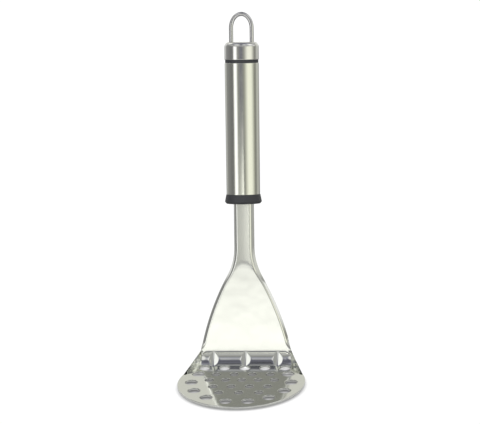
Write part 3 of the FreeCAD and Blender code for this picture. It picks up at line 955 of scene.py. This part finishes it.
@dataclass
class Handle:
    """Everything on the handle axis, with heights counted from the crease of the blade."""

    blade: MasherBlade
    collar_foot: float = 43.1
    collar_height: float = 6.7
    tube_length: float = 96.0
    ring_height: float = 2.3
    cap_height: float = 12.8
    bore: float = 11.25
    wire: float = 1.55
    loop_half_width: float = 7.55
    loop_height: float = 22.0
    loop_arch: float = 10.05
    turns: int = 128

    def __post_init__(self) -> None:
        """Work out the axis and the heights."""
        lean = math.radians(self.blade.neck_lean)
        self.along = Vector((0.0, math.sin(lean), math.cos(lean)))
        self.behind = Vector((0.0, math.cos(lean), -math.sin(lean)))
        crease = self.blade.foot + self.blade.up * self.blade.wedge_length
        self.start = crease + self.behind * (self.blade.neck_depth / 2.0)
        self.collar_top = self.collar_foot + self.collar_height
        self.tube_top = self.collar_top + self.tube_length
        self.cap_foot = self.tube_top + self.ring_height
        self.cap_top = self.cap_foot + self.cap_height

    def place(self, x: float, y: float, height: float) -> Vector:
        """Point of the frame for handle coordinates."""
        return self.start + Vector((x, 0.0, 0.0)) + self.behind * y + self.along * height

    def turned(self, name: str, outline: Outline, radii: Sequence[float], material: bpy.types.Material, node: str, slot: str) -> bpy.types.Object:
        """Make one turned piece with rounded corners.

        Args:
            name: Name of the piece.
            outline: Corners of its section.
            radii: Radius of each corner.
            material: Its material.
            node: Node that it stands for.
            slot: Not used.

        Returns:
            The piece.
        """
        item = finish_mesh(name, lathe(rounded(outline, radii), self.turns, self.place), material)
        weigh_normals(item)
        return attach(item, node)

    def build_tube(self, material: bpy.types.Material) -> bpy.types.Object:
        """Slightly tapered tube with broken edges."""
        outline = [(self.bore, self.collar_top), (12.25, self.collar_top), (12.5, self.tube_top), (self.bore, self.tube_top)]
        return self.turned("handle_sleeve", outline, (0.0, 0.25, 0.3, 0.0), material, "handle_tube", "satin_steel")

    def build_ring(self, material: bpy.types.Material) -> bpy.types.Object:
        """Black ring set a little back between tube and cap."""
        outline = [(self.bore, self.tube_top), (12.15, self.tube_top), (12.15, self.cap_foot), (self.bore, self.cap_foot)]
        return self.turned("black_ring", outline, (0.0, 0.2, 0.2, 0.0), material, "spacer_ring", "black_plastic")

    def build_collar(self, material: bpy.types.Material) -> bpy.types.Object:
        """Flared collar, open in the middle for the neck, with its spigot inside the tube."""
        foot, top = self.collar_foot, self.collar_top
        outline = [(8.4, foot), (12.3, foot), (13.5, foot + 1.5), (12.5, top), (11.15, top), (11.15, top + 14.0), (8.4, top + 14.0)]
        return self.turned("flared_collar", outline, (0.4, 0.9, 0.9, 0.3, 0.0, 0.3, 0.3), material, "lower_collar", "black_plastic")

    def build_cap(self, material: bpy.types.Material) -> bpy.types.Object:
        """Drawn cap with a rounded shoulder."""
        foot, top = self.cap_foot, self.cap_top
        outline = [(self.bore, foot), (12.6, foot), (12.6, top), (0.0, top), (0.0, top - 1.4), (9.65, top - 1.4), (self.bore, top - 3.0)]
        return self.turned("bright_cap", outline, (0.0, 0.35, 3.25, 0.0, 0.0, 0.5, 0.5), material, "end_cap", "polished_steel")

    def build_loop(self, material: bpy.types.Material) -> bpy.types.Object:
        """Round wire bent to an arch between two straight legs."""
        arch_foot = self.cap_top + self.loop_height - self.wire - self.loop_arch
        low = self.tube_top - 12.0 - 1.5 - 0.8
        line = [(-self.loop_half_width, low + (arch_foot - low) * k / 12.0) for k in range(12)]
        for k in range(41):
            angle = math.pi - math.pi * k / 40.0
            line.append((self.loop_half_width * math.cos(angle), arch_foot + self.loop_arch * math.sin(angle)))
        line += [(self.loop_half_width, arch_foot + (low - arch_foot) * k / 12.0) for k in range(1, 13)]
        work = bmesh.new()
        rings = []
        for index, (x, height) in enumerate(line):
            before, after = line[max(index - 1, 0)], line[min(index + 1, len(line) - 1)]
            run = Vector((after[0] - before[0], 0.0, after[1] - before[1])).normalized()
            across = Vector((run.z, 0.0, -run.x))
            ring = []
            for k in range(24):
                angle = math.tau * k / 24.0
                offset = across * (self.wire * math.cos(angle)) + Vector((0.0, self.wire * math.sin(angle), 0.0))
                ring.append(work.verts.new(self.place(x + offset.x, offset.y, height + offset.z)))
            rings.append(ring)
        for here, there in zip(rings, rings[1:]):
            for k in range(24):
                after = (k + 1) % 24
                work.faces.new([here[k], here[after], there[after], there[k]])
        work.faces.new(rings[0])
        work.faces.new(rings[-1])
        item = finish_mesh("wire_loop", work, material)
        return attach(item, "hanging_loop")


# ---------------------------------------------------------------------------- studio


@dataclass(frozen=True)
class Panel:
    """A soft-edged round light panel far away, by the direction of its middle."""

    azimuth: float
    elevation: float
    inner: float
    outer: float
    tone: Rgb

    def mask(self, tree: bpy.types.NodeTree, direction: bpy.types.NodeSocket) -> bpy.types.NodeSocket:
        """1 on the panel, 0 away from it."""
        a, e = math.radians(self.azimuth), math.radians(self.elevation)
        dot = add_node(tree, "ShaderNodeVectorMath", operation="DOT_PRODUCT")
        dot.inputs[1].default_value = (math.sin(a) * math.cos(e), -math.cos(a) * math.cos(e), math.sin(e))
        tree.links.new(direction, dot.inputs[0])
        edge = add_node(tree, "ShaderNodeMapRange", interpolation_type="SMOOTHSTEP")
        edge.inputs["From Min"].default_value = math.cos(math.radians(self.outer))
        edge.inputs["From Max"].default_value = math.cos(math.radians(self.inner))
        tree.links.new(dot.outputs["Value"], edge.inputs["Value"])
        return edge.outputs["Result"]


@dataclass
class Studio:
    """Camera, lights, floor and surroundings."""

    azimuth: float = 6.3
    elevation: float = 19.5
    roll: float = -2.45
    distance: float = 2.5
    lens: float = 259.0
    shift_x: float = 0.0
    shift_y: float = 0.0
    aside: float = 0.0044
    rise: float = 0.1231
    floor: float = -0.0015
    near_floor: float = 0.14
    floor_glow: float = 1.05

    def build_camera(self) -> None:
        """Long lens, a little above the plate, looking slightly down."""
        a, e = math.radians(self.azimuth), math.radians(self.elevation)
        back = Vector((math.sin(a) * math.cos(e), -math.cos(a) * math.cos(e), math.sin(e)))
        data = bpy.data.cameras.new("camera")
        data.lens = self.lens
        data.sensor_width = 36.0
        data.shift_x, data.shift_y = self.shift_x, self.shift_y
        data.clip_start, data.clip_end = 0.1, 50.0
        camera = bpy.data.objects.new("camera", data)
        bpy.context.scene.collection.objects.link(camera)
        right = Vector((math.cos(a), math.sin(a), 0.0))
        aim = Vector((0.0, 0.0, 0.0015)) + right * self.aside + back.cross(right) * self.rise
        camera.location = aim + back * self.distance
        turn = (-back).to_track_quat("-Z", "Y").to_matrix() @ Matrix.Rotation(math.radians(self.roll), 3, "Z")
        camera.rotation_mode = "QUATERNION"
        camera.rotation_quaternion = turn.to_quaternion()
        bpy.context.scene.camera = camera

    def build_world(self) -> None:
        """White background; reflections see a studio with two tall bright panels between darker walls."""
        world = bpy.data.worlds.new("studio")
        bpy.context.scene.world = world
        world.use_nodes = True
        tree = world.node_tree
        tree.nodes.clear()
        output = add_node(tree, "ShaderNodeOutputWorld")
        place = add_node(tree, "ShaderNodeTexCoord")
        split = add_node(tree, "ShaderNodeSeparateXYZ")
        tree.links.new(place.outputs["Generated"], split.inputs[0])
        x, y, z = split.outputs
        azimuth = math_node(tree, "ARCTAN2", x, math_node(tree, "MULTIPLY", y, -1.0))
        share = math_node(tree, "ADD", math_node(tree, "DIVIDE", azimuth, math.tau), 0.5)
        rise = math_node(tree, "ADD", math_node(tree, "MULTIPLY", z, 0.5), 0.5)
        walls = self.ramp(tree, share, WALLS)
        ceiling = self.ramp(tree, rise, CEILING)
        light = self.blend(tree, self.ramp(tree, rise, WALL_MASK), ceiling, walls)
        for panel in PANELS:
            light = self.blend(tree, panel.mask(tree, place.outputs["Generated"]), light, panel.tone)
        sweep = math_node(tree, "MULTIPLY", self.ramp(tree, share, SWEEP_SIDES), self.ramp(tree, rise, SWEEP_TOP))
        light = self.blend(tree, sweep, light, grey(1.46, 0.035))
        studio = add_node(tree, "ShaderNodeBackground")
        tree.links.new(light, studio.inputs["Color"])
        plain = add_node(tree, "ShaderNodeBackground")
        plain.inputs["Color"].default_value = (1.0, 1.0, 1.0, 1.0)
        path = add_node(tree, "ShaderNodeLightPath")
        choose = add_node(tree, "ShaderNodeMixShader")
        tree.links.new(path.outputs["Is Camera Ray"], choose.inputs[0])
        tree.links.new(studio.outputs[0], choose.inputs[1])
        tree.links.new(plain.outputs[0], choose.inputs[2])
        tree.links.new(choose.outputs[0], output.inputs[0])

    @staticmethod
    def blend(tree: bpy.types.NodeTree, factor: bpy.types.NodeSocket, low: object, high: object) -> bpy.types.NodeSocket:
        """Colour between two, each a socket or a plain colour."""
        node = add_node(tree, "ShaderNodeMix", data_type="RGBA")
        sockets = {socket.identifier: socket for socket in node.inputs}
        tree.links.new(factor, sockets["Factor_Float"])
        for name, value in (("A_Color", low), ("B_Color", high)):
            if isinstance(value, bpy.types.NodeSocket):
                tree.links.new(value, sockets[name])
            else:
                sockets[name].default_value = (*value, 1.0)
        return next(socket for socket in node.outputs if socket.identifier == "Result_Color")

    @staticmethod
    def ramp(tree: bpy.types.NodeTree, factor: bpy.types.NodeSocket, stops: Sequence[tuple[float, Rgb]]) -> bpy.types.NodeSocket:
        """Colour ramp with the given stops."""
        node = add_node(tree, "ShaderNodeValToRGB")
        node.color_ramp.interpolation = "EASE"
        elements = node.color_ramp.elements
        while len(elements) < len(stops):
            elements.new(0.5)
        for element, (position, colour) in zip(elements, stops):
            element.position = position
        for element, (position, colour) in zip(elements, stops):
            element.color = (*colour, 1.0)
        tree.links.new(factor, node.inputs[0])
        return node.outputs["Color"]

    @staticmethod
    def painted_plate_shadow(tree: bpy.types.NodeTree) -> bpy.types.NodeSocket:
        """Painted shadow under the plate: the floor's glow drops to 0.58 inside the plate's round outline, short of
        its far part.

        Args:
            tree: The floor's tree.

        Returns:
            A number from 0 to 1.
        """
        place = add_node(tree, "ShaderNodeTexCoord")
        length = add_node(tree, "ShaderNodeVectorMath", operation="LENGTH")
        tree.links.new(place.outputs["Object"], length.inputs[0])
        split = add_node(tree, "ShaderNodeSeparateXYZ")
        tree.links.new(place.outputs["Object"], split.inputs[0])
        shares = []
        for value, low, high in ((length.outputs["Value"], 0.0395, 0.0425), (split.outputs["Y"], 0.021, 0.025)):
            rise = add_node(tree, "ShaderNodeMapRange", interpolation_type="SMOOTHSTEP")
            rise.inputs["From Min"].default_value = low
            rise.inputs["From Max"].default_value = high
            rise.inputs["To Min"].default_value = 0.58
            tree.links.new(value, rise.inputs["Value"])
            shares.append(rise.outputs["Result"])
        return math_node(tree, "MAXIMUM", *shares)

    def build_floor(self) -> None:
        """Pale floor; the camera sees only its glow, darkened under and round the plate as a painted shadow, while
        reflections see it lit by the lamp. Only its near part shows in the steel.
        """
        material = bpy.data.materials.new("studio_floor")
        material.use_nodes = True
        tree = material.node_tree
        shader = next(node for node in tree.nodes if node.type == "BSDF_PRINCIPLED")
        shader.inputs["Base Color"].default_value = (0.8, 0.8, 0.8, 1.0)
        shader.inputs["Roughness"].default_value = 0.9
        shader.inputs["Specular IOR Level"].default_value = 0.0
        path = add_node(tree, "ShaderNodeLightPath")
        seen = math_node(tree, "MULTIPLY", path.outputs["Is Camera Ray"], self.floor_glow)
        # painted contact shadow: ambient occlusion within 3 mm turns the floor's glow down next to the masher
        painted_contact_shade = add_node(tree, "ShaderNodeAmbientOcclusion", samples=8)
        painted_contact_shade.inputs["Distance"].default_value = 0.003
        # painted shadow: the floor's glow is turned down under the plate by its place, not by any lamp
        seen = math_node(tree, "MULTIPLY", seen, self.painted_plate_shadow(tree))
        # glow that the camera sees, with the painted shadow under and round the plate
        glow_with_painted_shadow = math_node(tree, "MULTIPLY", seen, math_node(tree, "POWER", painted_contact_shade.outputs["AO"], 0.8))
        tree.links.new(glow_with_painted_shadow, shader.inputs["Emission Strength"])
        shown = math_node(tree, "SUBTRACT", 1.0, path.outputs["Is Camera Ray"])
        mirrored = math_node(tree, "SUBTRACT", 0.62, math_node(tree, "MULTIPLY", path.outputs["Is Glossy Ray"], 0.12))
        dimmed = math_node(tree, "MULTIPLY", shown, mirrored)
        tone = add_node(tree, "ShaderNodeCombineColor")
        for channel in tone.inputs:
            tree.links.new(dimmed, channel)
        tree.links.new(tone.outputs[0], shader.inputs["Base Color"])
        shader.inputs["Emission Color"].default_value = (1.0, 1.0, 1.0, 1.0)
        output = next(node for node in tree.nodes if node.type == "OUTPUT_MATERIAL")
        under = add_node(tree, "ShaderNodeMixShader")
        tree.links.new(add_node(tree, "ShaderNodeNewGeometry").outputs["Backfacing"], under.inputs[0])
        tree.links.new(shader.outputs[0], under.inputs[1])
        tree.links.new(add_node(tree, "ShaderNodeBsdfTransparent").outputs[0], under.inputs[2])
        tree.links.new(under.outputs[0], output.inputs["Surface"])
        steps = 48
        rings = []
        for radius in (self.near_floor, 4.0):
            angles = [math.tau * step / steps for step in range(steps)]
            rings.append([(radius * math.cos(angle), radius * math.sin(angle), self.floor) for angle in angles])
        near_faces = [tuple(range(steps))]
        far_faces = [(steps + k, steps + (k + 1) % steps, (k + 1) % steps, k) for k in range(steps)]
        parts = (("floor_near", rings[0], near_faces, True), ("floor_far", rings[0] + rings[1], far_faces, False))
        for name, points, faces, mirrored in parts:
            mesh = bpy.data.meshes.new(name)
            mesh.from_pydata(points, [], faces)
            mesh.materials.append(material)
            floor = bpy.data.objects.new(name, mesh)
            bpy.context.scene.collection.objects.link(floor)
            floor.visible_glossy = mirrored

    def build_card(self) -> None:
        """Bright card low in front, which the flat face of the neck mirrors and the handle doesn't."""
        mesh = bpy.data.meshes.new("neck_card")
        corners = [(x, -0.94, z) for x, z in ((-0.42, 0.26), (0.20, 0.26), (0.20, 0.37), (-0.42, 0.37))]
        mesh.from_pydata(corners, [], [(0, 1, 2, 3)])
        card = bpy.data.objects.new("neck_card", mesh)
        bpy.context.scene.collection.objects.link(card)
        for ray in ("camera", "diffuse", "shadow", "transmission", "volume_scatter"):
            setattr(card, f"visible_{ray}", False)
        material = bpy.data.materials.new("neck_card")
        material.use_nodes = True
        tree = material.node_tree
        tree.nodes.clear()
        output = add_node(tree, "ShaderNodeOutputMaterial")
        glow = add_node(tree, "ShaderNodeEmission")
        place = add_node(tree, "ShaderNodeTexCoord")
        split = add_node(tree, "ShaderNodeSeparateXYZ")
        tree.links.new(place.outputs["Generated"], split.inputs[0])
        tree.links.new(self.ramp(tree, split.outputs["X"], CARD), glow.inputs["Color"])
        tree.links.new(glow.outputs[0], output.inputs[0])
        mesh.materials.append(material)

    def build_lamps(self) -> None:
        """One large soft lamp above and in front for the floor and its shadow as reflections see them; the floor's
        shadow as the camera sees it is painted.
        """
        data = bpy.data.lights.new("overhead", "AREA")
        data.shape, data.size, data.size_y = "RECTANGLE", 3.0, 3.0
        data.energy = 62.0
        lamp = bpy.data.objects.new("overhead", data)
        lamp.location = (-0.2, -1.3, 1.9)
        lamp.rotation_euler = (-lamp.location).to_track_quat("-Z", "Y").to_euler()
        lamp.visible_glossy = False
        bpy.context.scene.collection.objects.link(lamp)


def grey(level: float, warm: float = 0.0) -> Rgb:
    """Grey of a level, a little yellow when warm is above 0."""
    return (level, level, level * (1.0 - warm))


def at(azimuth: float) -> float:
    """Ramp place of an azimuth in degrees, from -180 to 180 with 0 at the front."""
    return azimuth / 360.0 + 0.5


def height_at(elevation: float) -> float:
    """Ramp place of an elevation in degrees."""
    return math.sin(math.radians(elevation)) * 0.5 + 0.5


WALLS = (
    (at(-180), grey(1.0)),
    (at(-138), grey(0.78)),
    (at(-112), grey(0.27)),
    (at(-57), grey(0.17)),
    (at(-47), grey(1.45)),
    (at(-35), grey(1.45)),
    (at(-23), grey(0.24, 0.05)),
    (at(14), grey(0.26, 0.1)),
    (at(50), grey(1.08, 0.12)),
    (at(66), grey(1.05, 0.12)),
    (at(102), grey(0.24, 0.1)),
    (at(132), grey(0.68, 0.05)),
    (at(180), grey(1.0)),
)

CEILING = (
    (0.0, grey(0.45)),
    (height_at(-30), grey(0.22)),
    (height_at(10), grey(0.45)),
    (height_at(20), grey(0.36)),
    (height_at(33), grey(0.54)),
    (height_at(41), grey(0.30, 0.05)),
    (height_at(60), (0.32, 0.325, 0.39)),
    (height_at(76), (0.16, 0.16, 0.20)),
    (1.0, (0.12, 0.12, 0.15)),
)

WALL_MASK = (
    (height_at(-20), grey(0.0)),
    (height_at(-9), grey(1.0)),
    (height_at(12), grey(1.0)),
    (height_at(26), grey(0.0)),
)

SWEEP_SIDES = (
    (at(-70), grey(0.0)),
    (at(-40), grey(1.0)),
    (at(40), grey(1.0)),
    (at(70), grey(0.0)),
)

SWEEP_TOP = (
    (height_at(-22), grey(0.1)),
    (height_at(-10), grey(1.0)),
    (height_at(-3.4), grey(1.0)),
    (height_at(-2.4), grey(0.88)),
    (height_at(-1.1), grey(0.42)),
    (height_at(6), grey(0.0)),
)

PANELS = (
    Panel(0.0, 12.0, 8.0, 16.0, (0.17, 0.17, 0.20)),
    Panel(-100.0, 34.0, 8.0, 17.0, grey(0.38)),
    Panel(-137.0, 35.0, 5.0, 12.0, grey(1.6)),
    Panel(93.0, 43.0, 11.0, 22.0, grey(1.1)),
    Panel(103.0, 14.0, 5.0, 12.0, grey(0.95)),
    Panel(-46.0, 58.0, 9.0, 20.0, grey(0.9)),
    Panel(44.0, 60.0, 8.0, 18.0, grey(0.8)),
    Panel(-173.0, 23.0, 20.0, 32.0, grey(0.66, 0.07)),
)


CARD = (
    (0.0, grey(0.7, 0.08)),
    (0.40, grey(0.87, 0.08)),
    (0.7, grey(1.5, 0.08)),
    (1.0, grey(2.2, 0.08)),
)

POLISHED = SteelFinish("polished_steel", (0.85, 0.86, 0.81), 0.10, brush_gloss=0.03, satin_from=0.0700, satin_roughness=0.13, waviness=0.00004)
CAP_STEEL = SteelFinish("cap_steel", (0.82, 0.82, 0.79), 0.17, brush_gloss=0.05)
SATIN = SteelFinish("satin_steel", (0.82, 0.83, 0.76), 0.17, brush_depth=0.05, brush_gloss=0.10, tilt=16.0)
WIRE = SteelFinish("loop_steel", (0.70, 0.70, 0.70), 0.2)
INNER_STEEL = SteelFinish("inner_steel", (0.62, 0.62, 0.62), 0.35)
BLACK = PlasticFinish("black_plastic", (0.024, 0.025, 0.028), 0.5)
INNER_PLASTIC = PlasticFinish("inner_plastic", (0.5, 0.5, 0.46), 0.5)


def dress_inner(frame: dict, effects: Effects) -> None:
    """Give the hidden nodes their materials.

    Args:
        effects: The shared node groups.
    """
    plastic, steel = INNER_PLASTIC.build(effects), INNER_STEEL.build(effects)
    for node, material in (("tang_core", plastic), ("end_plug", plastic), ("tang_pins", steel), ("loop_anchor_plate", steel)):
        slots = frame["nodes"][node].material_slots
        for slot in slots:
            slot.material = material
        log.info("dressed %s", node)


def main() -> None:
    """Build and dress the masher, then the studio."""
    logging.basicConfig(level=logging.INFO, format="%(message)s")
    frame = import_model()
    scene = bpy.context.scene
    scene.view_settings.view_transform = "Standard"
    effects = Effects()
    studio = Studio()
    studio.build_camera()
    blade = MasherBlade()
    blade.build(POLISHED.build(effects))
    handle = Handle(blade)
    black = BLACK.build(effects)
    handle.build_tube(SATIN.build(effects))
    handle.build_ring(black)
    handle.build_collar(black)
    handle.build_cap(CAP_STEEL.build(effects))
    handle.build_loop(WIRE.build(effects))
    dress_inner(frame, effects)
    studio.build_world()
    studio.build_floor()
    studio.build_card()
    studio.build_lamps()


if __name__ == "__main__":
    main()
